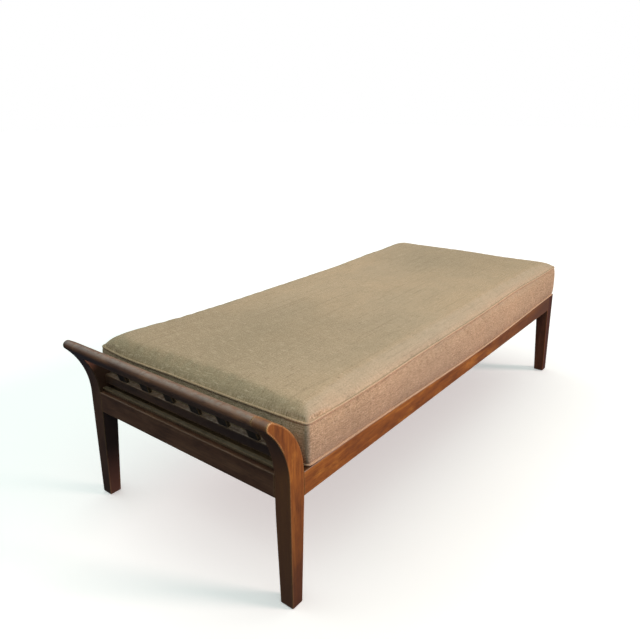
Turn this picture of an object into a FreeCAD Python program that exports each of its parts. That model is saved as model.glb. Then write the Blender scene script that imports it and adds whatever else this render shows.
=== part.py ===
"""Wooden daybed with a flared, slatted head end and one loose box mattress.

Millimetres. X runs along the bed: the head end is at -X and the foot end at +X. Y runs
across it, Z is up, and the floor is at Z = 0. The origin is the middle of the footprint.
"""
import FreeCAD, Part

import math
import os

import Sketcher

doc = FreeCAD.newDocument("Daybed")

# ---------------------------------------------------------------- driving dimensions

SIZES = [
    # frame
    ("frame_length", 1830, "outer face of head post to outer face of foot leg"),
    ("frame_width", 812, "outer face to outer face"),
    ("rail_top", 368, "top of all four rails and the foot legs"),
    ("rail_bottom", 302, "underside of all four rails"),
    ("rail_thick", 24, "thickness of all four rails"),
    ("post_depth", 52, "size of a post or leg along the bed"),
    ("post_width", 50, "size of a post or leg across the bed"),
    ("foot_depth", 37, "size of a leg's foot along the bed"),
    ("foot_width", 40, "size of a leg's foot across the bed"),
    ("arris", 2.5, "rounding of the long edges"),
    ("foot_edge", 5, "rounding round the bottom of a foot"),
    # rail joints
    ("tenon_thick", 12, "thickness of a rail tenon"),
    ("tenon_reach", 28, "length of a rail tenon"),
    ("tenon_shoulder", 8, "rail left above and below a tenon"),
    # flare of the head posts and crest rail
    ("front_bend_start", 356, "height where the front edge starts to curve"),
    ("rear_bend_start", 368, "height where the rear edge starts to curve"),
    ("nose_reach", 71, "how far the flared tip stands out past the posts"),
    ("nose_height", 531.5, "height of the centre of the rounded tip"),
    ("nose_round", 13.5, "radius of the rounded tip"),
    ("crest_front", 486.5, "height of the crest rail's lower front edge"),
    ("crest_rear", 510, "height of the crest rail's lower rear edge"),
    ("crest_dowel_x", -42, "middle of the crest rail's round tenons"),
    ("crest_dowel_z", 519, "height of the middle of the crest rail's round tenons"),
    ("crest_dowel", 16, "diameter of the crest rail's round tenons"),
    ("crest_dowel_reach", 20, "length of the crest rail's round tenons"),
    ("crest_edge", 7, "rounding of the crest rail's lower edges"),
    # head end below the crest rail
    ("ledge_back", 10, "ledge lip behind the face of the posts"),
    ("ledge_neck", 7, "depth of the shadow groove under the lip"),
    ("ledge_groove", 9, "height of the shadow groove"),
    ("ledge_top", 380.5, "top of the ledge"),
    ("gallery_bottom", 390.5, "underside of the gallery rail"),
    ("gallery_top", 419, "top of the gallery rail"),
    ("gallery_thick", 20, "thickness of the gallery rail"),
    ("gallery_tenon", 10, "thickness of the gallery rail's tenons"),
    ("gallery_tenon_reach", 15, "length of the gallery rail's tenons"),
    ("gallery_tenon_edge", 5, "gallery rail left above and below its tenons"),
    # upright slats of the head end
    ("upright_count", 6, "number of upright slats"),
    ("upright_width", 35, "width of an upright slat"),
    ("upright_thick", 10, "thickness of an upright slat"),
    ("upright_inset", 14, "slat's middle line in front of the posts' rear edge"),
    ("upright_foot_angle", 11, "degrees round the rear bend where a slat starts, inside the gallery rail"),
    ("upright_head_angle", 52, "degrees round the rear bend where a slat ends, inside the crest rail"),
    # deck under the mattress
    ("cleat_thick", 20, "size of a cleat across the bed"),
    ("cleat_height", 30, "height of a cleat"),
    ("cleat_gap", 12, "end of a cleat to the post or leg"),
    ("deck_count", 13, "number of deck slats"),
    ("deck_width", 70, "width of a deck slat"),
    ("deck_thick", 16, "thickness of a deck slat"),
    ("deck_start", 26, "posts' front face to the first deck slat"),
    ("deck_end", 56, "last deck slat to the foot rail's outer face"),
    ("deck_side_gap", 1, "end of a deck slat to the side rail"),
    ("deck_notch_gap", 1.5, "notches of the first deck slat to the head posts"),
    ("deck_screw_first", 50, "screws to the head-side edge of the notched deck slat"),
    # screws
    ("screw_shank", 4, "diameter of a screw"),
    ("screw_head", 8, "diameter of a screw's head"),
    ("screw_sink", 2.5, "depth of a countersunk head"),
    ("screw_reach", 36, "length of a screw"),
    ("cleat_screw_count", 6, "screws that hold one cleat"),
    ("cleat_screw_height", 8, "cleat's underside to its screws"),
    # mattress
    ("mattress_start", 68, "posts' front face to the mattress"),
    ("mattress_end", 2, "mattress to the foot legs' outer face"),
    ("mattress_inset", 2, "mattress side to the posts' outer face"),
    ("mattress_height", 142, "thickness of the mattress at its middle"),
    ("mattress_crown", 20, "rise of the mattress's top from its edge"),
    ("mattress_shoulder", 40, "width of the sloping shoulder round the mattress's top"),
    ("mattress_rest", 0.3, "clearance of the loose mattress on the rails"),
    ("mattress_corner", 14, "radius of the mattress's upright corners"),
    ("mattress_edge", 9, "rounding of the mattress's bottom edges"),
]

sheet = doc.addObject("Spreadsheet::Sheet", "Sizes")
for row, (alias, value, meaning) in enumerate(SIZES, start=1):
    sheet.set(f"A{row}", str(value))
    sheet.setAlias(f"A{row}", alias)
    sheet.set(f"B{row}", meaning)
doc.recompute()

HEAD_X = "(Sizes.nose_reach - Sizes.frame_length) / 2"
FOOT_X = "(Sizes.nose_reach + Sizes.frame_length) / 2"
HALF_WIDTH = "Sizes.frame_width / 2"
NOSE_X = "(Sizes.nose_round - Sizes.nose_reach)"
RIGHT, LEFT = -1, 1
SIDES = (RIGHT, LEFT)


def name_of(side):
    return "right" if side == RIGHT else "left"


def size(alias):
    """Return one driving dimension as a number."""
    return float(sheet.get(alias))


def worked_out(expression):
    """Return the number that an expression over the sheet gives."""
    return float(sheet.evalExpression(expression))


# ---------------------------------------------------------------- building blocks

def box(name, start, extent):
    """Make a box from three start and three extent expressions."""
    item = doc.addObject("Part::Box", name)
    for axis, prop, where, length in zip("xyz", ("Length", "Width", "Height"), start, extent):
        item.setExpression(f"Placement.Base.{axis}", where)
        item.setExpression(prop, length)
    return item


def joined(name, pieces):
    """Fuse several solids into one."""
    item = doc.addObject("Part::MultiFuse", name)
    item.Shapes = pieces
    item.Refine = True
    doc.recompute()
    return item


def cut_away(name, base, tools):
    """Cut mortises or holes for the tools, which fill them exactly."""
    item = doc.addObject("Part::Cut", name)
    item.Base = base
    item.Tool = tools[0] if len(tools) == 1 else joined(name + "Tools", tools)
    item.Refine = True
    doc.recompute()
    return item


def rounded(name, base, radius, is_wanted):
    """Round the edges of a solid that is_wanted picks."""
    doc.recompute()
    item = doc.addObject("Part::Fillet", name)
    item.Base = base
    numbers = [n for n, edge in enumerate(base.Shape.Edges, start=1) if is_wanted(edge)]
    item.Edges = [(n, radius, radius) for n in numbers]
    doc.recompute()
    return item


def runs_along(axis, shortest):
    """Return a test for straight edges along an axis and at least this long."""
    def test(edge):
        if edge.Length < shortest or edge.Curve.TypeId != "Part::GeomLine":
            return False
        return abs(abs(getattr(edge.tangentAt(edge.FirstParameter), axis)) - 1) < 1e-6
    return test


def base_plane(body, role):
    """Return one of a body's own origin planes."""
    return next(plane for plane in body.Origin.OriginFeatures if plane.Role == role)


def place_point(sketch, geometry, point, coordinates):
    """Bind a point of a sketch to expressions; one that starts with ~ is only a guess."""
    for kind, axis_line, expression in zip(("DistanceX", "DistanceY"), (-2, -1), coordinates):
        if expression.startswith("~"):
            continue
        if expression == "0":
            sketch.addConstraint(Sketcher.Constraint("PointOnObject", geometry, point, axis_line))
            continue
        value = worked_out(expression)
        number = sketch.addConstraint(Sketcher.Constraint(kind, -1, 1, geometry, point, value))
        sketch.setExpression(f"Constraints[{number}]", expression)


def outline(body, name, role, corners, centres):
    """Draw a closed outline of straight and round sides on an origin plane.

    corners are pairs of expressions. centres maps a side's number to its centre and to
    whether the side runs anticlockwise; a side that isn't in it is straight.
    """
    sketch = body.newObject("Sketcher::SketchObject", name)
    sketch.AttachmentSupport = [(base_plane(body, role), "")]
    sketch.MapMode = "FlatFace"
    points = [FreeCAD.Vector(*(worked_out(c.lstrip("~")) for c in corner), 0) for corner in corners]
    ends = []
    for side, (start, stop) in enumerate(zip(points, points[1:] + points[:1])):
        if side not in centres:
            sketch.addGeometry(Part.LineSegment(start, stop))
            ends.append((1, 2))
            continue
        centre, anticlockwise = centres[side]
        middle = FreeCAD.Vector(*(worked_out(c.lstrip("~")) for c in centre), 0)
        first, last = (start, stop) if anticlockwise else (stop, start)
        angles = [math.atan2(p.y - middle.y, p.x - middle.x) for p in (first, last)]
        if angles[1] < angles[0]:
            angles[1] += 2 * math.pi
        circle = Part.Circle(middle, FreeCAD.Vector(0, 0, 1), (start - middle).Length)
        sketch.addGeometry(Part.ArcOfCircle(circle, *angles))
        ends.append((1, 2) if anticlockwise else (2, 1))
    for side in range(len(points)):
        after = (side + 1) % len(points)
        sketch.addConstraint(Sketcher.Constraint("Coincident", side, ends[side][1], after, ends[after][0]))
    for side, corner in enumerate(corners):
        place_point(sketch, side, ends[side][0], corner)
    for side, (centre, _) in centres.items():
        place_point(sketch, side, 3, centre)
    doc.recompute()
    return sketch


def new_body(name, where):
    """Make a body whose origin is at three expressions."""
    body = doc.addObject("PartDesign::Body", name)
    for axis, expression in zip("xyz", where):
        if expression != "0":
            body.setExpression(f"Placement.Base.{axis}", expression)
    return body


def pad(body, sketch, length, reverse=False, midplane=False):
    """Pad a sketch by an expression."""
    feature = body.newObject("PartDesign::Pad", sketch.Name + "Pad")
    feature.Profile = sketch
    feature.setExpression("Length", length)
    feature.Reversed = reverse
    feature.Midplane = midplane
    doc.recompute()
    return feature


def pocket_through(body, sketch):
    """Cut a sketch through everything, and make sure that it cut something."""
    before = body.Shape.Volume
    feature = body.newObject("PartDesign::Pocket", sketch.Name + "Pocket")
    feature.Profile = sketch
    feature.Type = "ThroughAll"
    feature.Midplane = True
    doc.recompute()
    if body.Shape.Volume > before - 1:
        raise RuntimeError(f"{sketch.Name} cut nothing")
    return feature


def ease_edges(body, feature, is_wanted):
    """Round the wanted edges of a body's last feature."""
    names = [f"Edge{n}" for n, edge in enumerate(feature.Shape.Edges, start=1) if is_wanted(edge)]
    fillet = body.newObject("PartDesign::Fillet", feature.Name + "Fillet")
    fillet.Base = (feature, names)
    fillet.setExpression("Radius", "Sizes.arris")
    doc.recompute()
    return fillet


# ---------------------------------------------------------------- flare of the head end

FRONT_RADIUS = ("((Sizes.nose_round - Sizes.nose_reach) ^ 2 + (Sizes.nose_height"
                " - Sizes.front_bend_start) ^ 2 - Sizes.nose_round ^ 2) / (2 * Sizes.nose_reach)")
REAR_RADIUS = ("((Sizes.nose_round - Sizes.nose_reach - Sizes.post_depth) ^ 2"
               " + (Sizes.nose_height - Sizes.rear_bend_start) ^ 2 - Sizes.nose_round ^ 2)"
               " / (2 * (Sizes.post_depth + Sizes.nose_reach - 2 * Sizes.nose_round))")
FRONT_CENTRE = (f"-({FRONT_RADIUS})", "Sizes.front_bend_start")
REAR_CENTRE = (f"Sizes.post_depth - ({REAR_RADIUS})", "Sizes.rear_bend_start")
NOSE_CENTRE = (NOSE_X, "Sizes.nose_height")


def on_line(centre, radius, reach):
    """Return where the line from a bend's centre through the tip's centre meets the bend."""
    return tuple(f"({c}) + ({radius}) * (({n}) - ({c})) / ({reach})" for c, n in zip(centre, NOSE_CENTRE))


FRONT_TANGENT = on_line(FRONT_CENTRE, FRONT_RADIUS, f"({FRONT_RADIUS}) + Sizes.nose_round")
REAR_TANGENT = on_line(REAR_CENTRE, REAR_RADIUS, f"({REAR_RADIUS}) - Sizes.nose_round")


def at_height(centre, radius, height):
    """Return the point of a bend at a height."""
    return (f"({centre[0]}) + sqrt(({radius}) ^ 2 - ({height} - ({centre[1]})) ^ 2)", height)


def guess(point, *which):
    """Leave some coordinates of a point to the sketch's own solver."""
    return tuple("~" + c if n in which else c for n, c in enumerate(point))


def round_bend(radius, angle):
    """Return the point of a circle about the rear bend's centre at an angle."""
    return (f"({REAR_CENTRE[0]}) + ({radius}) * cos({angle})",
            f"({REAR_CENTRE[1]}) + ({radius}) * sin({angle})")


# ---------------------------------------------------------------- rails

INSIDE_LENGTH = "Sizes.frame_length - 2 * Sizes.post_depth"
INSIDE_WIDTH = "(Sizes.frame_width - 2 * Sizes.post_width)"
INSIDE_Y = f"-{INSIDE_WIDTH} / 2"
RAIL_HEIGHT = "Sizes.rail_top - Sizes.rail_bottom"
TENON_INSET = "(Sizes.rail_thick - Sizes.tenon_thick) / 2"
TENON_Z = "Sizes.rail_bottom + Sizes.tenon_shoulder"


def side_y(side, outer, thickness):
    """Return the lower Y of a board whose outer face is this far inside the frame."""
    if side == RIGHT:
        return f"-{HALF_WIDTH} + {outer}"
    return f"{HALF_WIDTH} - ({outer}) - ({thickness})"


def make_side_rail(name, side):
    start = (f"{HEAD_X} + Sizes.post_depth", side_y(side, "0", "Sizes.rail_thick"), "Sizes.rail_bottom")
    board = box(name + "Board", start, (INSIDE_LENGTH, "Sizes.rail_thick", RAIL_HEIGHT))
    tenon_start = (f"{HEAD_X} + Sizes.post_depth - Sizes.tenon_reach",
                   side_y(side, TENON_INSET, "Sizes.tenon_thick"), TENON_Z)
    tenon_size = (f"{INSIDE_LENGTH} + 2 * Sizes.tenon_reach", "Sizes.tenon_thick",
                  f"{RAIL_HEIGHT} - 2 * Sizes.tenon_shoulder")
    tenons = box(name + "Tenons", tenon_start, tenon_size)
    eased = rounded(name + "Eased", board, size("arris"), runs_along("x", 200))
    return joined(name, [eased, tenons])


def make_end_rail(name, face_x, inward):
    """Make the head rail or the foot rail; inward is the X direction of its inner face."""
    lower_x = face_x if inward > 0 else f"{face_x} - Sizes.rail_thick"
    board = box(name + "Board", (lower_x, INSIDE_Y, "Sizes.rail_bottom"),
                ("Sizes.rail_thick", INSIDE_WIDTH, RAIL_HEIGHT))
    tenons = box(name + "Tenons", (f"{lower_x} + {TENON_INSET}", f"{INSIDE_Y} - Sizes.tenon_reach", TENON_Z),
                 ("Sizes.tenon_thick", f"{INSIDE_WIDTH} + 2 * Sizes.tenon_reach",
                  f"{RAIL_HEIGHT} - 2 * Sizes.tenon_shoulder"))
    eased = rounded(name + "Eased", board, size("arris"), runs_along("y", 200))
    return joined(name, [eased, tenons])


def make_ledge(name):
    """Make the moulding on the head rail, with a shadow groove under its lip."""
    lip_z = "Sizes.rail_top + Sizes.ledge_groove"
    lip = box(name + "Lip", (f"{HEAD_X} + Sizes.ledge_back", INSIDE_Y, lip_z),
              ("Sizes.rail_thick - Sizes.ledge_back", INSIDE_WIDTH, f"Sizes.ledge_top - ({lip_z})"))
    neck = box(name + "Neck", (f"{HEAD_X} + Sizes.ledge_back + Sizes.ledge_neck", INSIDE_Y,
                               "Sizes.rail_top"),
               ("Sizes.rail_thick - Sizes.ledge_back - Sizes.ledge_neck", INSIDE_WIDTH,
                "Sizes.ledge_groove"))
    return joined(name, [lip, neck])


def make_gallery_blank(name):
    """Make the rail that the upright slats stand in, before it is mortised for them."""
    height = "Sizes.gallery_top - Sizes.gallery_bottom"
    board_start = (f"{HEAD_X} + Sizes.rail_thick", INSIDE_Y, "Sizes.gallery_bottom")
    board = box(name + "Board", board_start, ("Sizes.gallery_thick", INSIDE_WIDTH, height))
    inset = "(Sizes.gallery_thick - Sizes.gallery_tenon) / 2"
    tenon_start = (f"{HEAD_X} + Sizes.rail_thick + {inset}", f"{INSIDE_Y} - Sizes.gallery_tenon_reach",
                   "Sizes.gallery_bottom + Sizes.gallery_tenon_edge")
    tenon_size = ("Sizes.gallery_tenon", f"{INSIDE_WIDTH} + 2 * Sizes.gallery_tenon_reach",
                  f"{height} - 2 * Sizes.gallery_tenon_edge")
    tenons = box(name + "Tenons", tenon_start, tenon_size)
    eased = rounded(name + "Eased", board, size("arris"), runs_along("y", 200))
    return joined(name, [eased, tenons])


def make_crest_blank(name):
    """Make the flared top rail, before it is mortised for the upright slats."""
    body = new_body(name + "Body", (HEAD_X, "0", "0"))
    corners = [at_height(FRONT_CENTRE, FRONT_RADIUS, "Sizes.crest_front"), guess(FRONT_TANGENT, 0),
               guess(REAR_TANGENT, 0), guess(at_height(REAR_CENTRE, REAR_RADIUS, "Sizes.crest_rear"), 0)]
    centres = {0: (FRONT_CENTRE, True), 1: (NOSE_CENTRE, False), 2: (REAR_CENTRE, False)}
    section = outline(body, name + "Section", "XZ_Plane", corners, centres)
    rail = pad(body, section, INSIDE_WIDTH, midplane=True)
    lower_face_z = (size("crest_front") + size("crest_rear")) / 2

    def is_lower_edge(edge):
        return runs_along("y", 200)(edge) and edge.CenterOfMass.z < lower_face_z + size("crest_edge") * 2

    lower = [f"Edge{n}" for n, edge in enumerate(rail.Shape.Edges, start=1) if is_lower_edge(edge)]
    fillet = body.newObject("PartDesign::Fillet", name + "LowerEdges")
    fillet.Base = (rail, lower)
    fillet.setExpression("Radius", "Sizes.crest_edge")
    doc.recompute()
    dowel = doc.addObject("Part::Cylinder", name + "Dowel")
    dowel.setExpression("Radius", "Sizes.crest_dowel / 2")
    dowel.setExpression("Height", f"{INSIDE_WIDTH} + 2 * Sizes.crest_dowel_reach")
    dowel.Placement = FreeCAD.Placement(FreeCAD.Vector(), FreeCAD.Rotation(FreeCAD.Vector(1, 0, 0), -90))
    dowel.setExpression("Placement.Base.x", f"{HEAD_X} + Sizes.crest_dowel_x")
    dowel.setExpression("Placement.Base.y", f"{INSIDE_Y} - Sizes.crest_dowel_reach")
    dowel.setExpression("Placement.Base.z", "Sizes.crest_dowel_z")
    return joined(name, [body, dowel])


def make_upright(name, number):
    """Make one curved slat of the head end, with its ends ready to be let into both rails."""
    gap = f"({INSIDE_WIDTH} - Sizes.upright_count * Sizes.upright_width) / (Sizes.upright_count + 1)"
    across = f"{INSIDE_Y} + ({gap} + Sizes.upright_width) * {number} - Sizes.upright_width / 2"
    body = new_body(name, (HEAD_X, across, "0"))
    outer = f"({REAR_RADIUS} - Sizes.upright_inset + Sizes.upright_thick / 2)"
    inner = f"({outer} - Sizes.upright_thick)"
    foot, head = "Sizes.upright_foot_angle", "Sizes.upright_head_angle"
    corners = [round_bend(outer, foot), guess(round_bend(outer, head), 0),
               round_bend(inner, head), guess(round_bend(inner, foot), 0)]
    centres = {0: (REAR_CENTRE, True), 2: (REAR_CENTRE, False)}
    profile = outline(body, name + "Profile", "XZ_Plane", corners, centres)
    pad(body, profile, "Sizes.upright_width", midplane=True)
    return body


# ---------------------------------------------------------------- posts and legs

def taper_foot(body, name, side):
    """Cut the inner face of a leg to its narrower foot."""
    inner, foot = (f"{-side} * Sizes.{alias}" for alias in ("post_width", "foot_width"))
    far = f"{-side} * (Sizes.post_width + Sizes.foot_width)"
    corners = [(inner, "Sizes.rail_bottom"), (far, "Sizes.rail_bottom"), (far, "0"), (foot, "0")]
    wedge = outline(body, name + "Taper", "YZ_Plane", corners, {})
    return pocket_through(body, wedge)


def is_long_side(edge):
    """Tell whether an edge runs up a leg or round its flare."""
    ends = [vertex.Point for vertex in edge.Vertexes]
    return len(ends) == 2 and abs(ends[0].z - ends[1].z) > 5


def round_foot(body, feature):
    """Round the edges where a leg meets the floor."""
    names = [f"Edge{n}" for n, edge in enumerate(feature.Shape.Edges, start=1)
             if edge.BoundBox.ZMax < 1]
    fillet = body.newObject("PartDesign::Fillet", feature.Name + "Foot")
    fillet.Base = (feature, names)
    fillet.setExpression("Radius", "Sizes.foot_edge")
    doc.recompute()


def make_head_post(name, side, mortised_for):
    """Make a head post: a leg whose top curves outwards into the rounded tip."""
    body = new_body(name + "Body", (HEAD_X, f"{side} * {HALF_WIDTH}", "0"))
    corners = [("0", "0"), ("0", "Sizes.front_bend_start"), guess(FRONT_TANGENT, 0), guess(REAR_TANGENT, 0),
               ("Sizes.post_depth", "Sizes.rear_bend_start"), ("Sizes.post_depth", "Sizes.rail_bottom"),
               ("Sizes.foot_depth", "0")]
    centres = {1: (FRONT_CENTRE, True), 2: (NOSE_CENTRE, False),
               3: (guess(REAR_CENTRE, 0), False)}
    profile = outline(body, name + "Profile", "XZ_Plane", corners, centres)
    blank = pad(body, profile, "Sizes.post_width", reverse=side == RIGHT)
    ease_edges(body, blank, is_long_side)
    round_foot(body, taper_foot(body, name, side))
    return cut_away(name, body, mortised_for)


def make_foot_leg(name, side, mortised_for):
    """Make a foot leg, tapered on its two inner faces."""
    body = new_body(name + "Body", (FOOT_X, f"{side} * {HALF_WIDTH}", "0"))
    corners = [("0", "0"), ("0", "Sizes.rail_top"), ("-Sizes.post_depth", "Sizes.rail_top"),
               ("-Sizes.post_depth", "Sizes.rail_bottom"), ("-Sizes.foot_depth", "0")]
    profile = outline(body, name + "Profile", "XZ_Plane", corners, {})
    blank = pad(body, profile, "Sizes.post_width", reverse=side == RIGHT)
    ease_edges(body, blank, is_long_side)
    round_foot(body, taper_foot(body, name, side))
    return cut_away(name, body, mortised_for)


# ---------------------------------------------------------------- deck

CLEAT_TOP = "Sizes.rail_top - Sizes.deck_thick"
DECK_PITCH = ("(Sizes.frame_length - Sizes.deck_start - Sizes.deck_end - Sizes.deck_width)"
              " / (Sizes.deck_count - 1)")


def deck_x(number):
    """Return the X of a deck slat's head-side edge."""
    return f"{HEAD_X} + Sizes.deck_start + ({number} - 1) * {DECK_PITCH}"


def make_screw(name, place, turn):
    """Make a countersunk screw whose head's face is at the origin of its placement."""
    head = doc.addObject("Part::Cone", name + "Head")
    head.setExpression("Radius1", "Sizes.screw_head / 2")
    head.setExpression("Radius2", "Sizes.screw_shank / 2")
    head.setExpression("Height", "Sizes.screw_sink")
    shank = doc.addObject("Part::Cylinder", name + "Shank")
    shank.setExpression("Radius", "Sizes.screw_shank / 2")
    shank.setExpression("Height", "Sizes.screw_reach")
    for item in (head, shank):
        item.Placement = FreeCAD.Placement(FreeCAD.Vector(), turn)
        for axis, expression in zip("xyz", place):
            item.setExpression(f"Placement.Base.{axis}", expression)
    return joined(name, [head, shank])


def make_cleat_blank(name, side):
    """Make the strip inside a side rail that carries the deck slats."""
    start = (f"{HEAD_X} + Sizes.post_depth + Sizes.cleat_gap",
             side_y(side, "Sizes.rail_thick", "Sizes.cleat_thick"), f"{CLEAT_TOP} - Sizes.cleat_height")
    return box(name + "Board", start, (f"{INSIDE_LENGTH} - 2 * Sizes.cleat_gap", "Sizes.cleat_thick",
                                       "Sizes.cleat_height"))


def make_cleat_screws(name, side):
    """Make the screws that hold a cleat to its side rail."""
    turn = FreeCAD.Rotation(FreeCAD.Vector(1, 0, 0), -90 * side)
    inner_face = f"{side} * ({HALF_WIDTH} - Sizes.rail_thick - Sizes.cleat_thick)"
    low = f"{CLEAT_TOP} - Sizes.cleat_height + Sizes.cleat_screw_height"
    spacing = "(Sizes.deck_count - 2) / (Sizes.cleat_screw_count - 1)"
    screws = []
    for n in range(round(size("cleat_screw_count"))):
        along = f"{deck_x(1.5 + n)} + Sizes.deck_width / 2 + {n} * ({spacing} - 1) * {DECK_PITCH}"
        screws.append(make_screw(f"{name}{n + 1}", (along, inner_face, low), turn))
    return screws


def make_deck_slat_blank(name, number):
    """Make a deck slat; the first one is notched round the head posts."""
    start = (deck_x(number), f"-{HALF_WIDTH} + Sizes.rail_thick + Sizes.deck_side_gap", CLEAT_TOP)
    length = "Sizes.frame_width - 2 * (Sizes.rail_thick + Sizes.deck_side_gap)"
    board = box(name + "Board", start, ("Sizes.deck_width", length, "Sizes.deck_thick"))
    eased = rounded(name + "Eased", board, size("arris"), runs_along("y", 200))
    if number > 1:
        return eased
    depth = "Sizes.post_depth + Sizes.deck_notch_gap"
    width = "Sizes.post_width + Sizes.deck_notch_gap"
    notches = [box(f"{name}Notch{name_of(side)}", (HEAD_X, side_y(side, "0", width), CLEAT_TOP),
                   (depth, width, "Sizes.deck_thick")) for side in SIDES]
    return cut_away(name + "Notched", eased, notches)


def make_deck_screw(name, number, side):
    """Make the screw that holds one end of a deck slat to its cleat."""
    turn = FreeCAD.Rotation(FreeCAD.Vector(1, 0, 0), 180)
    across = f"{side} * ({HALF_WIDTH} - Sizes.rail_thick - Sizes.cleat_thick / 2)"
    inwards = "Sizes.deck_width / 2" if number > 1 else "Sizes.deck_screw_first"
    return make_screw(name, (f"{deck_x(number)} + {inwards}", across, "Sizes.rail_top"), turn)


# ---------------------------------------------------------------- mattress

def make_mattress(name):
    """Make the mattress: a block with a sloping shoulder round its top."""
    block = box(name + "Block",
                (f"{HEAD_X} + Sizes.mattress_start", f"-{HALF_WIDTH} + Sizes.mattress_inset",
                 "Sizes.rail_top + Sizes.mattress_rest"),
                ("Sizes.frame_length - Sizes.mattress_start - Sizes.mattress_end",
                 "Sizes.frame_width - 2 * Sizes.mattress_inset", "Sizes.mattress_height"))
    doc.recompute()
    shoulder = doc.addObject("Part::Chamfer", name + "Shoulder")
    shoulder.Base = block
    top = block.Shape.BoundBox.ZMax
    shoulder.Edges = [(n, size("mattress_crown"), size("mattress_shoulder"))
                      for n, edge in enumerate(block.Shape.Edges, start=1)
                      if edge.BoundBox.ZMin > top - 1]
    corners = rounded(name + "Corners", shoulder, size("mattress_corner"), runs_along("z", 50))
    bottom = block.Shape.BoundBox.ZMin
    return rounded(name, corners, size("mattress_edge"),
                   lambda edge: edge.BoundBox.ZMax < bottom + 1)


# ---------------------------------------------------------------- the daybed

nodes = {}

uprights = [make_upright(f"gallery_slat_{n}", n) for n in range(1, round(size("upright_count")) + 1)]
nodes.update((slat.Name, slat) for slat in uprights)
gallery_blank = make_gallery_blank("gallery_blank")
crest_blank = make_crest_blank("crest_blank")
nodes["gallery_rail"] = cut_away("gallery_rail", gallery_blank, uprights)
nodes["crest_rail"] = cut_away("crest_rail", crest_blank, uprights)
nodes["head_rail"] = make_end_rail("head_rail", HEAD_X, 1)
nodes["head_ledge"] = make_ledge("head_ledge")
nodes["foot_rail"] = make_end_rail("foot_rail", FOOT_X, -1)

cleat_screws = []
deck_screws = []
for side in SIDES:
    hand = name_of(side)
    screws = make_cleat_screws(f"cleat_screw_{hand}_", side)
    side_rail = make_side_rail(f"side_rail_{hand}_blank", side)
    nodes[f"head_post_{hand}"] = make_head_post(f"head_post_{hand}", side, [
        side_rail, nodes["head_rail"], gallery_blank, crest_blank])
    nodes[f"foot_leg_{hand}"] = make_foot_leg(f"foot_leg_{hand}", side, [side_rail, nodes["foot_rail"]])
    nodes[f"side_rail_{hand}"] = cut_away(f"side_rail_{hand}", side_rail, screws)
    down = [make_deck_screw(f"deck_screw_{hand}_{n}", n, side)
            for n in range(1, round(size("deck_count")) + 1)]
    nodes[f"cleat_{hand}"] = cut_away(f"cleat_{hand}", make_cleat_blank(f"cleat_{hand}", side),
                                      screws + down)
    cleat_screws += screws
    deck_screws.append(down)

for number, screws in enumerate(zip(*deck_screws), start=1):
    name = f"deck_slat_{number:02d}"
    nodes[name] = cut_away(name, make_deck_slat_blank(name, number), list(screws))

for name, screws in (("cleat_screws", cleat_screws), ("deck_screws", deck_screws[0] + deck_screws[1])):
    group = doc.addObject("Part::Compound", name)
    group.Links = screws
    nodes[name] = group
nodes["mattress"] = make_mattress("mattress")

doc.recompute()

# ---------------------------------------------------------------- checks and files

for item in doc.Objects:
    if "Invalid" in item.State or "Error" in item.State:
        raise RuntimeError(f"{item.Name} failed: {item.State}")

os.makedirs("parts", exist_ok=True)
for name, item in nodes.items():
    item.Label = name
    if item.Shape.isNull() or not item.Shape.isValid():
        raise RuntimeError(f"{name} has no valid shape")
    item.Shape.exportStep(f"parts/{name}.step")
    bounds = item.Shape.BoundBox
    print(f"{name:20s} {len(item.Shape.Solids):3d} solids {item.Shape.Volume / 1000:10.1f} cm3 "
          f"x {bounds.XMin:8.1f} {bounds.XMax:8.1f} y {bounds.YMin:7.1f} {bounds.YMax:7.1f} "
          f"z {bounds.ZMin:6.1f} {bounds.ZMax:6.1f}")
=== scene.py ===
"""Daybed: materials, the stuffed mattress, floor, light and camera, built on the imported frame."""

import math

import bpy
import numpy as np
from mathutils import Matrix, Vector


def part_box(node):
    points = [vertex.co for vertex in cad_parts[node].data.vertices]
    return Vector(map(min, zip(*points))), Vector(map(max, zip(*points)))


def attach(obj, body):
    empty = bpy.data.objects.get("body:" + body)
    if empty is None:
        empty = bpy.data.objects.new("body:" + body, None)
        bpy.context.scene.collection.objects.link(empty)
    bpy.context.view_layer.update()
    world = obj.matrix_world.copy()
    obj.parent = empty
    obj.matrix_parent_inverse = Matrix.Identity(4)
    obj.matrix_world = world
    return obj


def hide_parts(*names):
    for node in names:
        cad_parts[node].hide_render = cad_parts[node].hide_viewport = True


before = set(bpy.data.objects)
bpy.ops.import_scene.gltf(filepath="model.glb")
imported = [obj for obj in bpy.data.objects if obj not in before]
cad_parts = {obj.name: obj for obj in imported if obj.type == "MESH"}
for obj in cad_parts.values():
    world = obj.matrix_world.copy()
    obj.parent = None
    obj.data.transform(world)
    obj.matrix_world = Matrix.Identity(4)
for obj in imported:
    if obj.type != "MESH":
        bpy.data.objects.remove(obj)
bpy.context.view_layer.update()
scene = bpy.context.scene

# ---------------------------------------------------------------- material building blocks


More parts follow.
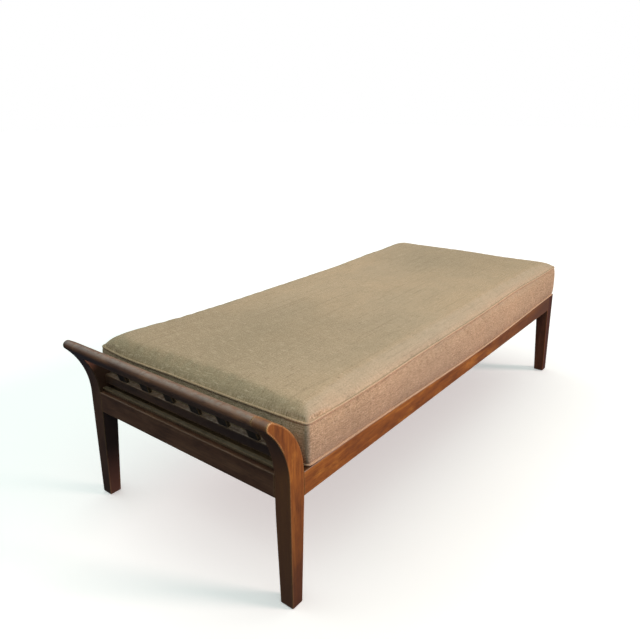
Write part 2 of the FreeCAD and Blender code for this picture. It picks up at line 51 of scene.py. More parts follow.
class Nodes:
    """A short way to build a material's node tree."""

    def __init__(self, name):
        self.material = bpy.data.materials.new(name)
        self.material.use_nodes = True
        self.tree = self.material.node_tree
        self.shader = self.tree.nodes["Principled BSDF"]

    def add(self, kind, inputs=None, **settings):
        """Add a node; an input's value is a plain value or another node's output."""
        node = self.tree.nodes.new("ShaderNode" + kind)
        for key, value in settings.items():
            setattr(node, key, value)
        for key, value in (inputs or {}).items():
            self.join(value, node.inputs[key])
        return node

    def join(self, value, socket):
        if isinstance(value, bpy.types.NodeSocket):
            self.tree.links.new(value, socket)
        else:
            socket.default_value = value

    def math(self, operation, a, b=0.0, clamp=False):
        return self.add("Math", {0: a, 1: b}, operation=operation, use_clamp=clamp).outputs[0]

    def product(self, first, *others):
        for value in others:
            first = self.math("MULTIPLY", first, value)
        return first

    def facing(self, direction):
        """Return how far the surface looks along a direction, from -1 to 1."""
        normal = self.add("NewGeometry").outputs["Normal"]
        dot = self.add("VectorMath", {0: normal, 1: direction}, operation="DOT_PRODUCT")
        return dot.outputs["Value"]

    def ramp(self, factor, stops, smooth=True):
        """Map a number to a colour or a number through stops of (position, value)."""
        node = self.add("ValToRGB", {"Fac": factor})
        node.color_ramp.interpolation = "EASE" if smooth else "LINEAR"
        elements = node.color_ramp.elements
        while len(elements) < len(stops):
            elements.new(0.5)
        for element, (position, value) in zip(elements, stops):
            element.position = position
            colour = value if isinstance(value, tuple) else (value,) * 3
            element.color = (*colour, 1.0)
        return node.outputs["Color"]

    def mix(self, factor, a, b):
        node = self.add("Mix", data_type="RGBA", clamp_factor=True)
        self.join(factor, node.inputs["Factor"])
        for value, socket in ((a, node.inputs[6]), (b, node.inputs[7])):
            self.join((*value, 1.0) if isinstance(value, tuple) else value, socket)
        return node.outputs[2]

    def noise(self, vector, scale, detail=3.0, roughness=0.5, distortion=0.0):
        node = self.add("TexNoise", {"Vector": vector, "Scale": scale, "Detail": detail,
                                     "Roughness": roughness, "Distortion": distortion})
        return node.outputs["Fac"]

    def stretched(self, vector, scale, offset=(0.0, 0.0, 0.0)):
        node = self.add("Mapping", {"Vector": vector, "Scale": scale, "Location": offset})
        return node.outputs["Vector"]

    def bump(self, height, strength, distance, normal=None):
        node = self.add("Bump", {"Height": height, "Strength": strength, "Distance": distance})
        if normal is not None:
            self.join(normal, node.inputs["Normal"])
        return node.outputs["Normal"]


def srgb(red, green, blue):
    """Turn 0 to 255 display values into the linear colour a shader takes."""
    return tuple(v / 12.92 if v <= 0.04045 else ((v + 0.055) / 1.055) ** 2.4
                 for v in (c / 255 for c in (red, green, blue)))


def grain_scale(axis, along, across):
    """Return a mapping scale that is low along the grain and high across it."""
    return tuple(along if n == "xyz".index(axis) else across for n in range(3))


UP = (0.0, 0.0, 1.0)
NEAR = (0.0, -1.0, 0.0)     # the long side that the key light falls on

# ---------------------------------------------------------------- wood

# Grey for the faces that look up: dust, and a painted sheen of the sky on the lacquer.
DUST_AND_SHEEN = srgb(150, 136, 124)
BARE_WOOD = srgb(240, 196, 132)
ARRIS = 0.007               # width of the worn strip along an outer edge
EDGE_WEAR = 0.22            # how bare the arrises are away from the rubbed spots


def make_wood(name, axis, palette, wear=(), stain_and_shade=None, dust_and_sheen=0.0, side_shade=None):
    """Make oiled hardwood with its grain along an axis.

    palette is three colours from dark to light, wear is spots of (centre, radius) where the arrises
    are rubbed pale. The darkening is (axis, clear place, darkest place, colour): the wood's own
    darkening on the side rails, painted shade on the posts and the gallery rail. A share of grey
    goes on the faces that look up: dust, and a painted sheen of the sky. The direction tint is
    (direction, colour, share): painted shade on the faces that look along that direction.
    """
    dark, middle, light = palette
    n = Nodes(name)
    place = n.add("TexCoord").outputs["Object"]
    each = n.add("ObjectInfo").outputs["Random"]
    shift = n.add("CombineXYZ", {0: n.product(each, 7.0), 1: n.product(each, 3.0),
                                 2: n.product(each, 5.0)}).outputs[0]
    place_each = n.add("VectorMath", {0: place, 1: shift}, operation="ADD").outputs[0]
    bands = n.noise(n.stretched(place_each, grain_scale(axis, 1.6, 26.0)), 1.0, 5.0, 0.6, 0.6)
    streaks = n.noise(n.stretched(place_each, grain_scale(axis, 7.0, 190.0)), 1.0, 4.0, 0.6, 0.3)
    pores = n.noise(n.stretched(place_each, grain_scale(axis, 30.0, 950.0)), 1.0, 2.0, 0.6)
    blotch = n.noise(n.stretched(place_each, grain_scale(axis, 9.0, 24.0)), 1.0, 4.0, 0.65)
    figure = n.math("ADD", n.product(bands, 0.62), n.product(streaks, 0.38))
    colour = n.ramp(figure, [(0.30, dark), (0.50, middle), (0.72, light)])
    colour = n.mix(n.ramp(blotch, [(0.48, 0.0), (0.70, 0.55)]), colour, dark)
    colour = n.mix(n.ramp(blotch, [(0.28, 0.60), (0.48, 0.0)]), colour, light)
    pore_lines = n.ramp(pores, [(0.36, 1.0), (0.47, 0.0)])
    colour = n.mix(n.product(pore_lines, 0.45), colour, tuple(c * 0.35 for c in dark))
    # A darkening along an axis: the wood's own darkening on the side rails, painted shade on the posts
    # and on the gallery rail.
    if stain_and_shade:
        colour = stain_and_shade_along(n, place, colour, *stain_and_shade)
    # Painted shade: the faces that look along a direction take a tint.
    if side_shade:
        direction, tint, share = side_shade
        colour = n.mix(n.ramp(n.facing(direction), [(0.15, 0.0), (0.60, share)]), colour, tint)
    # Dust, and a painted grey sheen of the sky, on the faces that look up.
    if dust_and_sheen:
        specks = n.ramp(n.noise(place_each, 60.0, 4.0, 0.7), [(0.36, 0.15), (0.62, 1.0)])
        upward_share = n.ramp(n.facing(UP), [(0.55, 0.10), (0.95, 1.0)])
        colour = n.mix(n.product(upward_share, specks, dust_and_sheen), colour, DUST_AND_SHEEN)
    edge = worn_edges(n)
    worn = n.product(edge, EDGE_WEAR)
    for centre, radius in wear:
        rubbed = n.ramp(near_point(n, place, centre, radius), [(0.0, 0.0), (0.30, 1.0)])
        worn = n.math("MAXIMUM", worn, n.product(edge, rubbed))
    chips = n.ramp(n.noise(place, 140.0, 3.0, 0.65), [(0.34, 0.30), (0.50, 1.0)])
    worn = n.math("MULTIPLY", worn, chips, clamp=True)
    n.join(n.mix(worn, colour, BARE_WOOD), n.shader.inputs["Base Color"])
    rough = n.math("ADD", n.product(blotch, 0.22), n.product(streaks, 0.16))
    n.join(n.math("ADD", rough, 0.26), n.shader.inputs["Roughness"])
    n.shader.inputs["Specular IOR Level"].default_value = 0.45
    n.shader.inputs["Coat Weight"].default_value = 0.30
    n.shader.inputs["Coat Roughness"].default_value = 0.30
    soft = n.bump(streaks, 0.25, 0.0006)
    n.join(n.bump(pores, 0.30, 0.0003, soft), n.shader.inputs["Normal"])
    return n.material


def stain_and_shade_along(n, place, colour, axis, clear_at, darkest_at, tint):
    """Darken a colour towards a tint along an axis, from a clear place to a darkest one; used both for
    the wood's own darkening and for painted shade.
    """
    along = n.add("SeparateXYZ", {0: place}).outputs["xyz".index(axis)]
    reach = n.math("DIVIDE", n.math("SUBTRACT", along, clear_at), darkest_at - clear_at, clamp=True)
    return n.mix(n.ramp(reach, [(0.0, 0.0), (1.0, 0.92)], smooth=False), colour, tint)


def worn_edges(n):
    """Return how close a point is to an outer arris."""
    rounded = n.add("Bevel", {"Radius": ARRIS}, samples=4).outputs["Normal"]
    return n.ramp(n.facing(rounded), [(0.88, 1.0), (0.992, 0.0)])


def near_point(n, place, centre, radius):
    """Return a mask that fades out from a point."""
    gap = n.add("VectorMath", {0: place, 1: centre}, operation="DISTANCE").outputs["Value"]
    return n.math("SUBTRACT", 1.0, n.math("DIVIDE", gap, radius), clamp=True)


def make_screw_steel():
    """Make plain steel with faint spots."""
    n = Nodes("screw_steel")
    place = n.add("TexCoord").outputs["Object"]
    spots = n.noise(place, 900.0, 3.0, 0.6)
    n.join(n.ramp(spots, [(0.3, (0.24, 0.24, 0.25)), (0.7, (0.52, 0.52, 0.53))]),
           n.shader.inputs["Base Color"])
    n.shader.inputs["Metallic"].default_value = 1.0
    n.join(n.ramp(spots, [(0.3, 0.45), (0.7, 0.28)]), n.shader.inputs["Roughness"])
    return n.material


FRAME_WOOD = srgb(92, 50, 24), srgb(149, 92, 40), srgb(204, 140, 64)
# Painted shade: a darker, greyer copy of the frame wood, for the far head post and the two end rails.
SHADED_WOOD = srgb(76, 48, 36), srgb(114, 76, 55), srgb(142, 102, 76)
# Painted light: a lighter palette, so that the foot legs' head side, which lies in shade, shows light;
# their other sides get painted shade below.
LEG_WOOD = srgb(139, 74, 52), srgb(184, 105, 72), srgb(213, 134, 94)
# Painted shade: near-black wood for the gallery slats, which stand in the deep shade under the crest
# rail.
SLAT_SHADE = srgb(30, 20, 16), srgb(44, 31, 25), srgb(60, 44, 35)
# Greyer than the frame wood: partly the bloom of the finish, partly a painted grey sheen of the sky.
CREST_WOOD = srgb(88, 56, 42), srgb(136, 94, 70), srgb(178, 126, 90)
# Painted shade: darker and greyer than the frame wood, for the gallery rail in the recess under the
# crest rail.
GALLERY_WOOD = srgb(66, 44, 34), srgb(102, 70, 52), srgb(130, 94, 70)
# Painted sheen: a grey, light palette for the sky's sheen on the ledge.
LEDGE_WOOD = srgb(84, 68, 52), srgb(110, 94, 74), srgb(136, 120, 98)
DECK_WOOD = srgb(70, 50, 34), srgb(96, 72, 50), srgb(120, 94, 68)
# Painted shade towards the floor on the head posts.
FLOOR_SHADE_TINT = srgb(66, 42, 32)

crest_low, crest_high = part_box("crest_rail")
near_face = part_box("head_post_right")[0].y
near_tip = ((crest_low.x + 0.012, near_face + 0.001, crest_high.z - 0.012), 0.110)
# Painted shade: the head posts darken towards the floor.
leg_floor_shade = ("z", 0.36, 0.0, FLOOR_SHADE_TINT)
rail_grime = ("x", 0.05, 1.00, srgb(84, 60, 47))
# Painted shadow of the near post: the gallery rail darkens towards the near side.
gallery_post_shadow = ("y", 0.10, -0.20, srgb(62, 42, 36))
# Painted shade by the way a face looks: the far post's inner side darker, the near post's head side and
# top greyer, the foot legs' near and foot sides darker, and the side rails' tops under the mattress
# darker.
far_post_inner_shade = (NEAR, srgb(86, 57, 44), 0.85)
head_face_shade = ((-0.8, 0.0, 0.6), srgb(124, 82, 60), 0.70)
leg_side_shade = ((0.6, -0.8, 0.0), srgb(42, 28, 20), 0.86)
rail_top_shade = (UP, srgb(44, 34, 31), 0.80)
right_post_wood = make_wood("right_post_wood", "z", FRAME_WOOD, wear=[near_tip], stain_and_shade=leg_floor_shade,
                            side_shade=head_face_shade)
# Painted shade: the far head post takes the darker copy of the frame wood.
left_post_wood = make_wood("left_post_wood", "z", SHADED_WOOD, stain_and_shade=leg_floor_shade, dust_and_sheen=0.3,
                           side_shade=far_post_inner_shade)
leg_wood = make_wood("leg_wood", "z", LEG_WOOD, side_shade=leg_side_shade)
slat_shade_wood = make_wood("slat_shade_wood", "z", SLAT_SHADE)
side_wood = make_wood("side_rail_wood", "x", FRAME_WOOD, stain_and_shade=rail_grime, side_shade=rail_top_shade)
# Painted shade: the end rails take the darker copy of the frame wood.
end_wood = make_wood("end_rail_wood", "y", SHADED_WOOD)
crest_wood = make_wood("crest_wood", "y", CREST_WOOD, dust_and_sheen=0.52)
gallery_wood = make_wood("gallery_wood", "y", GALLERY_WOOD, stain_and_shade=gallery_post_shadow, dust_and_sheen=0.5)
ledge_wood = make_wood("ledge_wood", "y", LEDGE_WOOD, dust_and_sheen=0.3)
deck = {axis: make_wood(f"deck_wood_along_{axis}", axis, DECK_WOOD) for axis in "xy"}
steel = make_screw_steel()


def dress(node, material):
    """Give a CAD node one material on all its slots."""
    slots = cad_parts[node].data.materials
    slots.clear()
    slots.append(material)


FINISHES = (("head_post_right", right_post_wood), ("head_post_left", left_post_wood),
            ("foot_leg", leg_wood), ("gallery_slat", slat_shade_wood),
            ("side_rail", side_wood), ("head_rail", end_wood), ("foot_rail", end_wood),
            ("gallery_rail", gallery_wood), ("crest_rail", crest_wood), ("head_ledge", ledge_wood),
            ("cleat_screws", steel), ("deck_screws", steel),
            ("cleat", deck["x"]), ("deck_slat", deck["y"]))

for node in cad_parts:
    finish = next((material for start, material in FINISHES if node.startswith(start)), None)
    if finish:
        dress(node, finish)

# ---------------------------------------------------------------- mattress shape

PAD_LOW, PAD_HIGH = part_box("mattress")
MIDDLE = (PAD_LOW + PAD_HIGH) / 2
HALF = (PAD_HIGH - PAD_LOW) / 2
RAIL_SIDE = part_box("side_rail_right")[0].y
HEAD_CORNER = 0.010     # plan radius of the upright corners at the head end
FOOT_CORNER = 0.026     # and at the foot end
CELL = 0.011            # mesh cell of the cover
CORNER_CELLS = 3        # mesh cells across a corner square
SIDE_STEPS = (0.0035, 0.009, 0.018, 0.030, 0.042)   # mesh rows up from a seam to mid-height
CROWN = 0.0250          # rise of the top over its seam
HEAD_CROWN = 0.0060     # further rise towards the head end
PULL = 0.009            # the top seam is pulled up by this much at the near foot corner
SHOULDER = 0.042        # width of the round shoulder beside the top seam
SEAM_LOW = PAD_LOW.z + 0.0045
SEAM_HIGH = PAD_HIGH.z - 0.0245
PINCH = 0.0025          # the seams are drawn in by this much
BELLY = 0.0045          # the sides swell by this much between the two seams
SAG = 0.011             # the lower seam hangs over the side rails by this much
HEAD_LIFT = 0.003       # the lower corners at the head end pull up by this much
HEAD_LIFT_REACH = 0.06
STUFFING_STEPS = 20
STUFFING_REACH = 0.006  # no point moves further than this in the cloth solver
CORD_RADIUS = 0.0034    # the piping's cord
CORD_SIDES = 8
CORD_OUT = 0.0026       # the cord's middle stands this far outside its seam


def spaced(low, high):
    """Return grid lines from low to high, finer beside the edges."""
    count = round((high - low - 2 * HEAD_CORNER) / CELL)
    inner = np.linspace(low + HEAD_CORNER, high - HEAD_CORNER, count + 1)
    step = np.linspace(0, HEAD_CORNER, CORNER_CELLS + 1)[:-1]
    return np.concatenate([low + step, inner, (high - step)[::-1]])


def side_rows():
    """Return the heights of the mesh rows between the two seams."""
    steps = np.array(SIDE_STEPS)
    return np.concatenate([[SEAM_LOW], SEAM_LOW + steps, (SEAM_HIGH - steps)[::-1], [SEAM_HIGH]])


def round_corner(x, y):
    """Move a point of the rectangle's corner squares so that the outer corner is round."""
    radius = HEAD_CORNER if x < MIDDLE.x else FOOT_CORNER
    inside_x = min(max(x, PAD_LOW.x + radius), PAD_HIGH.x - radius)
    inside_y = min(max(y, PAD_LOW.y + radius), PAD_HIGH.y - radius)
    a, b = (x - inside_x) / radius, (y - inside_y) / radius
    return (inside_x + radius * a * math.sqrt(1 - b * b / 2),
            inside_y + radius * b * math.sqrt(1 - a * a / 2))


def hump(place, centre, width):
    """Return a smooth hump that is 1 at its centre."""
    return math.exp(-((place - centre) / width) ** 2)


def seam_shift(x, y, low):
    """Return how far the outline stands outwards at a plan point, near the low or the high seam.

    The stuffing has settled: the top pulls in between its corners, and the lower edge hangs over the
    side rails along the middle of the bed. Each hump is scaled by its size in metres.
    """
    v = (y - MIDDLE.y) / HALF.y
    near_top = 0.008 * hump(x, -0.60, 0.24) - 0.013 * hump(x, 0.55, 0.30) + 0.003 * hump(x, 0.95, 0.12)
    far_top = 0.012 - 0.019 * hump(x, 0.05, 0.60)
    side_top = near_top if y < MIDDLE.y else far_top
    side_low = 0.009 * hump(x, 0.15, 0.62)
    if x < MIDDLE.x:
        end_top = 0.003 + 0.013 * (1 - v * v) + 0.013 * hump(y, 0.29, 0.16)
        end_low = 0.008 * (1 - v * v)
    else:
        end_top = end_low = 0.012 * (1 - v * v) ** 0.8
    return (end_low, side_low) if low else (end_top, side_top)


def bowed(x, y, z):
    """Swell and settle a grid point of the cover."""
    u, v = (x - MIDDLE.x) / HALF.x, (y - MIDDLE.y) / HALF.y
    t = (z - SEAM_LOW) / (SEAM_HIGH - SEAM_LOW)
    swell = BELLY * (1 - (2 * t - 1) ** 4) - (PINCH if t in (0.0, 1.0) else 0.0)
    top_x, top_y = seam_shift(x, y, False)
    low_x, low_y = seam_shift(x, y, True)
    out_x = top_x * t + low_x * (1 - t) + swell
    out_y = top_y * t + low_y * (1 - t) + swell
    return x + np.sign(u) * abs(u) ** 8 * out_x, y + np.sign(v) * abs(v) ** 8 * out_y


def shoulder(gap):
    """Return how much of the crown is reached at a distance inside the seam."""
    return math.sqrt(1 - (1 - min(gap, SHOULDER) / SHOULDER) ** 2)


def raised(x, y, k, last_k, z):
    """Return the height of a grid point: the crowned top, the flat underside or the sides."""
    gap_x, gap_y = HALF.x - abs(x - MIDDLE.x), HALF.y - abs(y - MIDDLE.y)
    lift = PULL * hump(x, PAD_HIGH.x, 0.12) * hump(y, PAD_LOW.y, 0.14)
    if k == last_k:
        waves = 0.0012 * math.sin(9.0 * x + 5.0 * y) + 0.0010 * math.sin(14.0 * y - 6.0 * x)
        inside = shoulder(gap_x) * shoulder(gap_y)
        return z + lift + (CROWN - lift + HEAD_CROWN * hump(x, PAD_LOW.x, 0.45) + waves) * inside
    if k == 0 and min(gap_x, gap_y) > 1e-6:
        return PAD_LOW.z
    t = (z - SEAM_LOW) / (SEAM_HIGH - SEAM_LOW)
    if gap_x < 1e-6:
        return z + lift * t
    return z + lift * t - SAG * hump(x, 0.20, 0.58) * (1 - t) ** 2


def cover_grid():
    """Return the cover's vertices, faces, seam loops and weave coordinates."""
    xs = spaced(PAD_LOW.x, PAD_HIGH.x)
    ys = spaced(PAD_LOW.y, PAD_HIGH.y)
    zs = side_rows()
    last_i, last_j, last_k = len(xs) - 1, len(ys) - 1, len(zs) - 1
    points, index, faces, weave = [], {}, [], []

    def vertex(i, j, k):
        key = (i, j, k)
        if key not in index:
            x, y = round_corner(xs[i], ys[j])
            index[key] = len(points)
            points.append((*bowed(x, y, zs[k]), raised(xs[i], ys[j], k, last_k, zs[k])))
        return index[key]

    for k, order in ((last_k, 1), (0, -1)):
        for i in range(last_i):
            for j in range(last_j):
                ring = [(i, j), (i + 1, j), (i + 1, j + 1), (i, j + 1)][::order]
                faces.append([vertex(a, b, k) for a, b in ring])
                weave.append([(xs[a], ys[b]) for a, b in ring])
    rim = ([(i, 0) for i in range(last_i)] + [(last_i, j) for j in range(last_j)]
           + [(i, last_j) for i in range(last_i, 0, -1)] + [(0, j) for j in range(last_j, 0, -1)])
    travel = [0.0]
    for a, b in zip(rim, rim[1:] + rim[:1]):
        one, two = points[vertex(*a, 0)], points[vertex(*b, 0)]
        travel.append(travel[-1] + math.dist(one[:2], two[:2]))
    for step, (a, b) in enumerate(zip(rim, rim[1:] + rim[:1])):
        for k in range(last_k):
            faces.append([vertex(*a, k), vertex(*b, k), vertex(*b, k + 1), vertex(*a, k + 1)])
            weave.append([(travel[step], zs[k]), (travel[step + 1], zs[k]),
                          (travel[step + 1], zs[k + 1]), (travel[step], zs[k + 1])])
    seams = [[vertex(*p, k) for p in rim] for k in (0, last_k)]
    return np.array(points), faces, seams, weave


def make_cover(name, points, faces, weave):
    """Make a smooth fabric mesh with the weave's coordinates for each face corner."""
    mesh = bpy.data.meshes.new(name)
    mesh.from_pydata([tuple(p) for p in points], [], faces)
    layer = mesh.uv_layers.new(name="weave")
    layer.data.foreach_set("uv", np.array([uv for face in weave for uv in face], np.float32).ravel())
    mesh.polygons.foreach_set("use_smooth", [True] * len(mesh.polygons))
    item = bpy.data.objects.new(name, mesh)
    scene.collection.objects.link(item)
    return item


def coordinates(mesh):
    flat = np.empty(len(mesh.vertices) * 3, np.float32)
    mesh.vertices.foreach_get("co", flat)
    return flat.reshape(-1, 3).astype(float)


def inflate(item, seams, cap):
    """Stuff the cover with the cloth solver; the seams are held and no point moves beyond cap."""
    start = coordinates(item.data)
    held = item.vertex_groups.new(name="seams")
    held.add([vertex for seam in seams for vertex in seam], 1.0, "REPLACE")
    cloth = item.modifiers.new("stuffing", "CLOTH")
    settings = cloth.settings
    settings.quality = 5
    settings.mass = 0.3
    settings.tension_stiffness = 12
    settings.compression_stiffness = 12
    settings.shear_stiffness = 4
    settings.bending_stiffness = 0.4
    settings.vertex_group_mass = "seams"
    settings.use_pressure = True
    settings.uniform_pressure_force = 4
    settings.shrink_min = -0.012
    settings.effector_weights.gravity = 0
    cloth.collision_settings.use_collision = False
    cloth.point_cache.frame_start, cloth.point_cache.frame_end = 1, STUFFING_STEPS
    for number in range(1, STUFFING_STEPS + 1):
        scene.frame_set(number)
    posed = item.evaluated_get(bpy.context.evaluated_depsgraph_get())
    moved = coordinates(posed.data) - start
    item.modifiers.remove(cloth)
    item.vertex_groups.remove(held)
    scene.frame_set(1)
    reach = np.linalg.norm(moved, axis=1, keepdims=True)
    eased = moved * (cap * np.tanh(reach / cap) / np.maximum(reach, 1e-9))
    item.data.vertices.foreach_set("co", (start + eased).astype(np.float32).ravel())
    item.data.update()


def settle(item):
    """Keep the underside on the deck and the rails, and let the corners at the head pull up a little."""
    points = coordinates(item.data)
    over_rail = np.abs(points[:, 1]) < -RAIL_SIDE
    points[over_rail, 2] = np.maximum(points[over_rail, 2], PAD_LOW.z)
    gap = np.hypot(points[:, 0] - PAD_LOW.x, HALF.y - np.abs(points[:, 1] - MIDDLE.y))
    low = np.clip((MIDDLE.z - points[:, 2]) / HALF.z, 0, 1)
    points[:, 2] += HEAD_LIFT * low * np.exp(-gap / HEAD_LIFT_REACH)
    item.data.vertices.foreach_set("co", points.astype(np.float32).ravel())
    item.data.update()


def make_piping(name, item, seam, rise):
    """Sew a round cord of cover fabric along a seam loop; its middle lies a rise above the seam."""
    line = coordinates(item.data)[seam]
    before, after = np.roll(line, 1, axis=0), np.roll(line, -1, axis=0)
    along = after - before
    along /= np.linalg.norm(along, axis=1, keepdims=True)
    up = np.array(UP)
    out = np.cross(along, up)
    out /= np.linalg.norm(out, axis=1, keepdims=True)
    middle = line + out * CORD_OUT + up * rise
    gaps = np.linalg.norm(np.diff(line, axis=0, append=line[:1]), axis=1)
    travel = np.concatenate([[0.0], np.cumsum(gaps)])
    girth = 2 * math.pi * CORD_RADIUS / CORD_SIDES
    points, faces, uvs = [], [], []
    for i, centre in enumerate(middle):
        here, there = i * CORD_SIDES, (i + 1) % len(middle) * CORD_SIDES
        for k in range(CORD_SIDES):
            turn, after_k = 2 * math.pi * k / CORD_SIDES, (k + 1) % CORD_SIDES
            points.append(centre + CORD_RADIUS * (math.cos(turn) * out[i] + math.sin(turn) * up))
            faces.append([here + k, there + k, there + after_k, here + after_k])
            uvs.append([(travel[i], k * girth), (travel[i + 1], k * girth),
                        (travel[i + 1], (k + 1) * girth), (travel[i], (k + 1) * girth)])
    return make_cover(name, points, faces, uvs)


# ---------------------------------------------------------------- mattress cloth


PALE_CLOTH = srgb(192, 170, 140)
WARM_CLOTH = srgb(201, 174, 140)
# Grey for three broad patches on the top: the largest at the far head corner, one near the middle and
# one at the foot end.
PATCH_GREY = srgb(150, 134, 104)
GREY_PATCHES = (((-0.75, 0.25, PAD_HIGH.z), 0.75, 0.50),      # centre, radius and depth of each grey patch
          ((-0.35, -0.05, PAD_HIGH.z), 0.40, 0.22),
          ((0.85, 0.0, PAD_HIGH.z), 0.60, 0.42))


def lifted(colour, lift):
    """Multiply each channel of a colour."""
    return tuple(channel * factor for channel, factor in zip(colour, lift))


def make_cloth(name, lift=(1.0, 1.0, 1.0)):
    """Make the coarse beige weave, with its slubs, streaks, grey patches and faded patches."""
    n = Nodes(name)
    weave = n.add("UVMap", uv_map="weave").outputs["UV"]
    place = n.add("TexCoord").outputs["Object"]
    side = n.ramp(n.math("ABSOLUTE", n.facing(UP)), [(0.25, 1.0), (0.75, 0.0)])
    long_warp = n.noise(n.stretched(weave, (2.4, 120.0, 1.0)), 1.0, 3.0, 0.6)
    warp = n.noise(n.stretched(weave, (24.0, 380.0, 1.0)), 1.0, 3.0, 0.65)
    weft = n.noise(n.stretched(weave, (380.0, 26.0, 1.0), (3.1, 7.7, 0.0)), 1.0, 3.0, 0.65)
    grainy = n.noise(n.stretched(weave, (260.0, 300.0, 1.0)), 1.0, 3.0, 0.75)
    slubs = n.noise(n.stretched(weave, (60.0, 400.0, 1.0), (9.0, 2.0, 0.0)), 1.0, 3.0, 0.7)
    blotch = n.noise(place, 8.0, 4.0, 0.6)
    patch = n.noise(n.stretched(place, (1.1, 2.0, 1.0)), 1.0, 2.0, 0.5)
    colour = n.mix(n.ramp(patch, [(0.36, 0.0), (0.64, 1.0)]), lifted(PALE_CLOTH, lift),
                   lifted(WARM_CLOTH, lift))
    for centre, radius, depth in GREY_PATCHES:
        reach = n.ramp(near_point(n, place, centre, radius), [(0.0, 0.0), (0.8, 1.0)])
        colour = n.mix(n.product(reach, depth), colour, PATCH_GREY)
    colour = n.mix(n.ramp(blotch, [(0.34, 0.22), (0.60, 0.0)]), colour, srgb(158, 142, 114))
    colour = n.mix(n.ramp(long_warp, [(0.33, 0.40), (0.46, 0.0)]), colour, srgb(150, 128, 100))
    colour = n.mix(n.ramp(warp, [(0.30, 0.60), (0.48, 0.0)]), colour, srgb(138, 116, 88))
    colour = n.mix(n.ramp(weft, [(0.52, 0.0), (0.70, 0.55)]), colour, srgb(224, 204, 174))
    rough_side = n.math("ADD", n.product(side, 0.35), 0.60)
    dark_grain = n.product(n.ramp(grainy, [(0.30, 1.0), (0.50, 0.0)]), rough_side)
    light_grain = n.product(n.ramp(grainy, [(0.54, 0.0), (0.72, 1.0)]), rough_side)
    colour = n.mix(dark_grain, colour, srgb(112, 91, 68))
    colour = n.mix(light_grain, colour, srgb(244, 224, 196))
    dark_slubs = n.product(n.ramp(slubs, [(0.32, 1.0), (0.48, 0.0)]), side, 0.56)
    light_slubs = n.product(n.ramp(slubs, [(0.54, 0.0), (0.70, 1.0)]), side, 0.50)
    colour = n.mix(dark_slubs, colour, srgb(116, 94, 72))
    colour = n.mix(light_slubs, colour, srgb(238, 216, 190))
    # Painted light: the near shoulder and edge, which face the key light, are tinted greyer and greener
    # to cool its warm light.
    near_shoulder_tint = n.ramp(n.facing(NEAR), [(0.06, 0.0), (0.42, 0.26), (0.80, 0.26), (0.96, 0.0)])
    colour = n.mix(near_shoulder_tint, colour, srgb(174, 178, 164))
    cells = n.add("TexVoronoi", {"Vector": weave, "Scale": 2.2}, voronoi_dimensions="2D")
    spots = n.ramp(cells.outputs["Distance"], [(0.004, 0.45), (0.010, 0.0)])
    colour = n.mix(spots, colour, srgb(96, 78, 56))
    n.join(colour, n.shader.inputs["Base Color"])
    n.shader.inputs["Roughness"].default_value = 0.92
    n.shader.inputs["Specular IOR Level"].default_value = 0.18
    n.shader.inputs["Sheen Weight"].default_value = 0.10
    n.shader.inputs["Sheen Roughness"].default_value = 0.5
    over, under = (n.add("TexWave", {"Vector": weave, "Scale": 200.0, "Distortion": 0.6, "Detail": 1.0},
                         bands_direction=way).outputs["Fac"] for way in "XY")
    height = n.math("ADD", n.product(n.math("MAXIMUM", over, under), 0.4), warp)
    height = n.math("ADD", height, n.product(grainy, 1.2))
    n.join(n.bump(height, 0.6, 0.0010), n.shader.inputs["Normal"])
    return n.material


cover_cloth = make_cloth("mattress_cloth")
piping_cloth = make_cloth("piping_cloth", lift=(1.22, 1.10, 1.05))

cover_points, cover_faces, cover_seams, cover_weave = cover_grid()
mattress = make_cover("mattress_cover", cover_points, cover_faces, cover_weave)
inflate(mattress, cover_seams, STUFFING_REACH)
settle(mattress)
lower_piping = make_piping("mattress_piping_lower", mattress, cover_seams[0], rise=0.0)
upper_piping = make_piping("mattress_piping_upper", mattress, cover_seams[1], rise=0.0010)
finer = mattress.modifiers.new("finer", "SUBSURF")
finer.levels = finer.render_levels = 1

for piece in (mattress, lower_piping, upper_piping):
    piece.data.materials.append(cover_cloth if piece is mattress else piping_cloth)
    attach(piece, "mattress")
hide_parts("mattress")

# ---------------------------------------------------------------- floor, light and camera

PALE = 0.93
GLOW = 0.32             # lifts the floor to a studio white without lighting the object
FLOOR_REACH = 30.0


def make_floor():
    mesh = bpy.data.meshes.new("floor")
    corners = [(FLOOR_REACH * x, FLOOR_REACH * y, 0) for x, y in ((-1, -1), (1, -1), (1, 1), (-1, 1))]
    mesh.from_pydata(corners, [], [(0, 1, 2, 3)])
    item = bpy.data.objects.new("floor", mesh)
    scene.collection.objects.link(item)
    n = Nodes("floor_paint")
    speck = n.noise(n.add("TexCoord").outputs["Object"], 3.0, 3.0, 0.5)
    n.join(n.ramp(speck, [(0.2, PALE * 0.985), (0.8, PALE)]), n.shader.inputs["Base Color"])
    n.shader.inputs["Roughness"].default_value = 0.9
    n.shader.inputs["Specular IOR Level"].default_value = 0.1
    n.shader.inputs["Emission Color"].default_value = (1.0, 1.0, 1.0, 1.0)
    n.shader.inputs["Emission Strength"].default_value = GLOW
    mesh.materials.append(n.material)
    return item


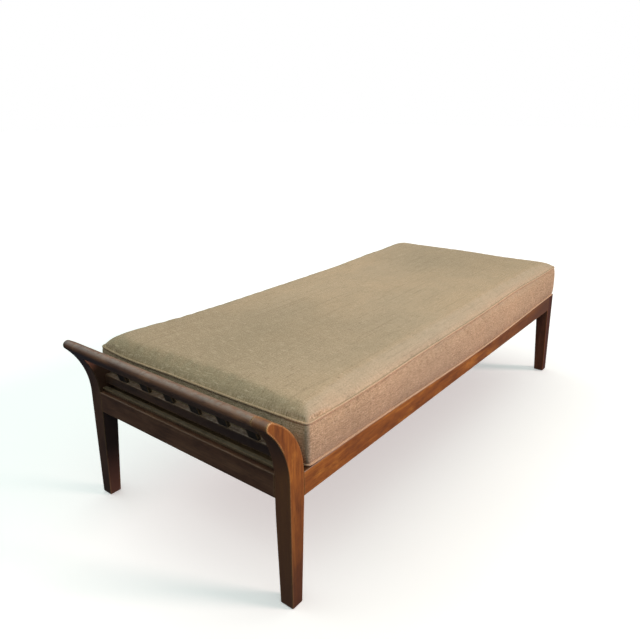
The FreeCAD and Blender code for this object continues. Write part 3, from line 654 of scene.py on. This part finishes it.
def make_world(above, below, shown):
    """Make a soft surround, brighter above; the camera sees it as pale as the floor."""
    world = bpy.data.worlds.new("studio")
    world.use_nodes = True
    tree = world.node_tree
    light = tree.nodes["Background"]
    height = tree.nodes.new("ShaderNodeSeparateXYZ")
    tree.links.new(tree.nodes.new("ShaderNodeTexCoord").outputs["Generated"], height.inputs[0])
    ramp = tree.nodes.new("ShaderNodeValToRGB")
    tree.links.new(height.outputs["Z"], ramp.inputs["Fac"])
    ramp.color_ramp.interpolation = "EASE"
    ramp.color_ramp.elements[0].color, ramp.color_ramp.elements[1].color = (*below, 1.0), (*above, 1.0)
    tree.links.new(ramp.outputs["Color"], light.inputs["Color"])
    seen = tree.nodes.new("ShaderNodeBackground")
    seen.inputs["Color"].default_value = (*shown, 1.0)
    path = tree.nodes.new("ShaderNodeLightPath")
    mixed = tree.nodes.new("ShaderNodeMixShader")
    tree.links.new(path.outputs["Is Camera Ray"], mixed.inputs[0])
    tree.links.new(light.outputs[0], mixed.inputs[1])
    tree.links.new(seen.outputs[0], mixed.inputs[2])
    tree.links.new(mixed.outputs[0], tree.nodes["World Output"].inputs["Surface"])
    scene.world = world


def make_sun(name, azimuth, elevation, energy, angle, colour):
    """Make a soft distant light that comes from an azimuth (degrees from +X towards +Y)."""
    lamp = bpy.data.lights.new(name, "SUN")
    lamp.energy = energy
    lamp.angle = math.radians(angle)
    lamp.color = colour
    item = bpy.data.objects.new(name, lamp)
    a, e = math.radians(azimuth), math.radians(elevation)
    towards = Vector((math.cos(a) * math.cos(e), math.sin(a) * math.cos(e), math.sin(e)))
    item.rotation_mode = "QUATERNION"
    item.rotation_quaternion = towards.to_track_quat("Z", "Y")
    item.location = towards * 5
    scene.collection.objects.link(item)


def make_camera(place, heading, dip, roll, lens, shift_y):
    """Make the camera; heading is degrees from +X towards +Y and dip is below the horizon."""
    data = bpy.data.cameras.new("camera")
    data.sensor_width = 36.0
    data.lens = lens
    data.shift_y = shift_y
    data.clip_start, data.clip_end = 0.05, 100.0
    item = bpy.data.objects.new("camera", data)
    h, d, r = (math.radians(v) for v in (heading, dip, roll))
    forward = Vector((math.cos(d) * math.cos(h), math.cos(d) * math.sin(h), -math.sin(d)))
    right = forward.cross(Vector((0, 0, 1))).normalized()
    up = right.cross(forward)
    right, up = right * math.cos(r) + up * math.sin(r), up * math.cos(r) - right * math.sin(r)
    turn = Matrix((right, up, -forward)).transposed()
    item.matrix_world = Matrix.Translation(place) @ turn.to_4x4()
    scene.collection.objects.link(item)
    scene.camera = item


scene.view_settings.view_transform = "Standard"
floor = make_floor()
floor.visible_diffuse = floor.visible_glossy = False
make_world(above=(0.82, 0.94, 0.87), below=(0.020, 0.030, 0.045), shown=(1.0, 1.0, 1.0))
make_sun("key", azimuth=-60.0, elevation=16.0, energy=2.88, angle=16.0, colour=(1.0, 0.716, 0.676))
make_sun("fill", azimuth=100.0, elevation=35.0, energy=0.5, angle=60.0, colour=(0.90, 0.95, 1.0))
make_camera((-1.7976, -1.2225, 1.2015), heading=38.248, dip=16.831, roll=-0.464, lens=34.51,
            shift_y=-0.047)
